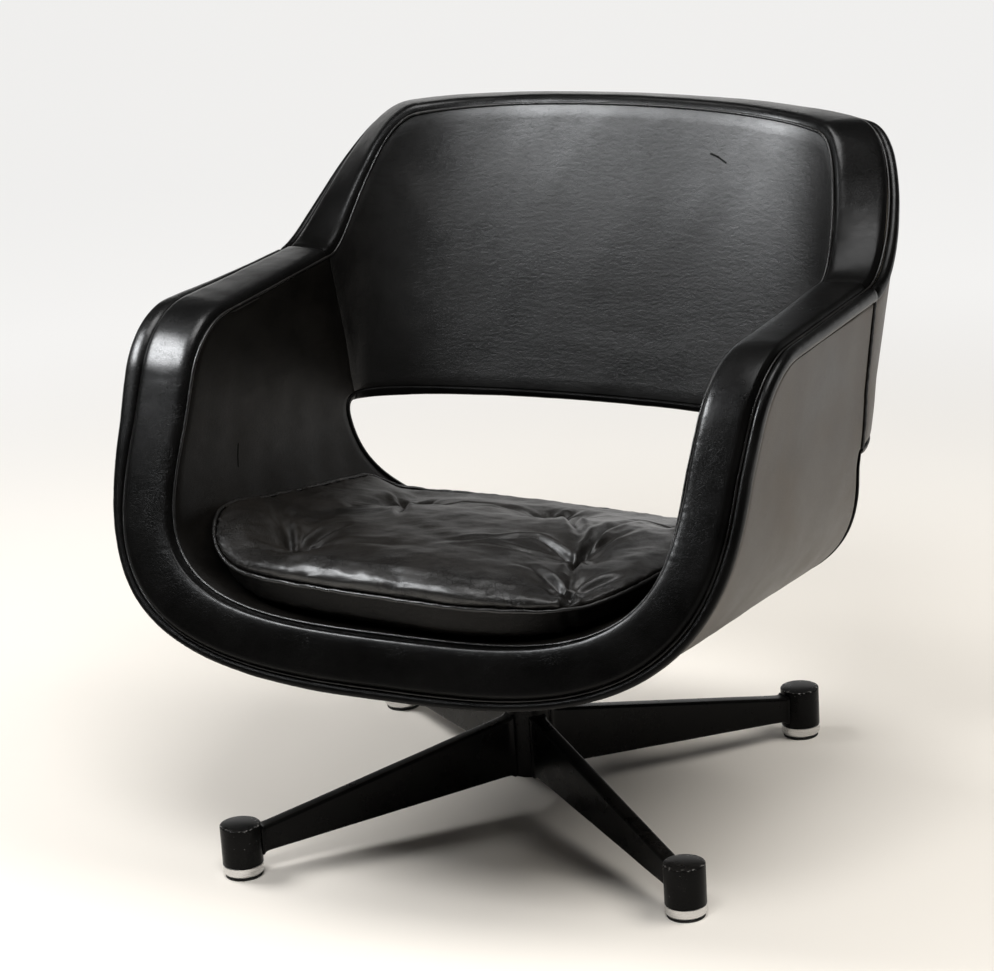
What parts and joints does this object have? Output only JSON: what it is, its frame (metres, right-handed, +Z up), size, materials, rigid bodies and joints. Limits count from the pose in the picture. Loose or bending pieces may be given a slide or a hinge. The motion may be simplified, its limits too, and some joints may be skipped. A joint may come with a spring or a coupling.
{
  "type": "pedestal swivel armchair",
  "caption": "Low swivel armchair: padded leather bucket seat with an open gap below the backrest, loose tufted cushion, slim steel pedestal with splayed legs and levelling glides.",
  "frame": {"origin": "middle of the chair's footprint on the floor", "axes": "+Z up, -Y the way the sitter faces, +X the sitter's left"},
  "size_m": [0.7162, 0.6914, 0.7133],
  "materials": {
    "black_leather": "aged semi-gloss black leather with fine creases",
    "black_welt": "black leather piping, a little glossier on its ridge",
    "grey_foam": "moulded upholstery foam, hidden",
    "moulded_shell": "glass-fibre moulding, hidden",
    "black_paint": "satin black paint with small chips",
    "bright_steel": "turned bright steel",
    "zinc_steel": "dull zinc plate",
    "bearing_plastic": "bearing plastic, hidden",
    "dark_pad": "dark hard plastic pad"
  },
  "bodies": {
    "base": {"hub_post": "black_paint", "leg_1": "black_paint", "leg_2": "black_paint", "leg_3": "black_paint", "leg_4": "black_paint", "foot_post_1": "black_paint", "foot_post_2": "black_paint", "foot_post_3": "black_paint", "foot_post_4": "black_paint", "upper_bush": "bearing_plastic", "lower_bush": "bearing_plastic", "thrust_washer": "bearing_plastic", "hub_end_cap": "dark_pad"},
    "glide_1": {"foot_glide_1": "bright_steel", "glide_pad_1": "dark_pad"},
    "glide_2": {"foot_glide_2": "bright_steel", "glide_pad_2": "dark_pad"},
    "glide_3": {"foot_glide_3": "bright_steel", "glide_pad_3": "dark_pad"},
    "glide_4": {"foot_glide_4": "bright_steel", "glide_pad_4": "dark_pad"},
    "seat": {"spindle": "zinc_steel", "retaining_clip": "zinc_steel", "seat_plate": "black_paint", "plate_bolt_1": "zinc_steel", "plate_bolt_2": "zinc_steel", "plate_bolt_3": "zinc_steel", "plate_bolt_4": "zinc_steel", "tee_nut_1": "zinc_steel", "tee_nut_2": "zinc_steel", "tee_nut_3": "zinc_steel", "tee_nut_4": "zinc_steel", "bucket_shell": "moulded_shell", "bucket_foam": "grey_foam", "bucket_inner_cover": "black_leather", "bucket_outer_cover": "black_leather", "front_rim_band": "black_leather", "front_rim_border": "black_leather", "front_inner_welt": "black_welt", "front_outer_welt": "black_welt", "gap_edge_cover": "black_leather", "back_shell": "moulded_shell", "back_foam": "grey_foam", "back_inner_cover": "black_leather", "back_outer_cover": "black_leather", "back_rim_band": "black_leather", "back_rim_border": "black_leather", "back_inner_welt": "black_welt", "back_outer_welt": "black_welt", "back_low_edge_cover": "black_leather", "joint_strip_left": "moulded_shell", "joint_strip_right": "moulded_shell", "side_seam_welt_left": "black_welt", "side_seam_welt_right": "black_welt"},
    "cushion": {"seat_cushion": "black_leather", "cushion_welt": "black_welt"}
  },
  "joints": [
    {"name": "seat_swivel", "type": "hinge", "parent": "base", "child": "seat", "pos_m": [0, -0.03668, 0.18], "axis": [0, 0, 1], "continuous": true},
    {"name": "cushion_lift", "type": "slide", "parent": "seat", "child": "cushion", "axis": [0, 0, 1], "range_m": [0, 0.12]},
    {"name": "glide_screw_1", "type": "slide", "parent": "base", "child": "glide_1", "axis": [0, 0, 1], "range_m": [-0.008, 0]},
    {"name": "glide_screw_2", "type": "slide", "parent": "base", "child": "glide_2", "axis": [0, 0, 1], "range_m": [-0.008, 0]},
    {"name": "glide_screw_3", "type": "slide", "parent": "base", "child": "glide_3", "axis": [0, 0, 1], "range_m": [-0.008, 0]},
    {"name": "glide_screw_4", "type": "slide", "parent": "base", "child": "glide_4", "axis": [0, 0, 1], "range_m": [-0.008, 0]}
  ]
}
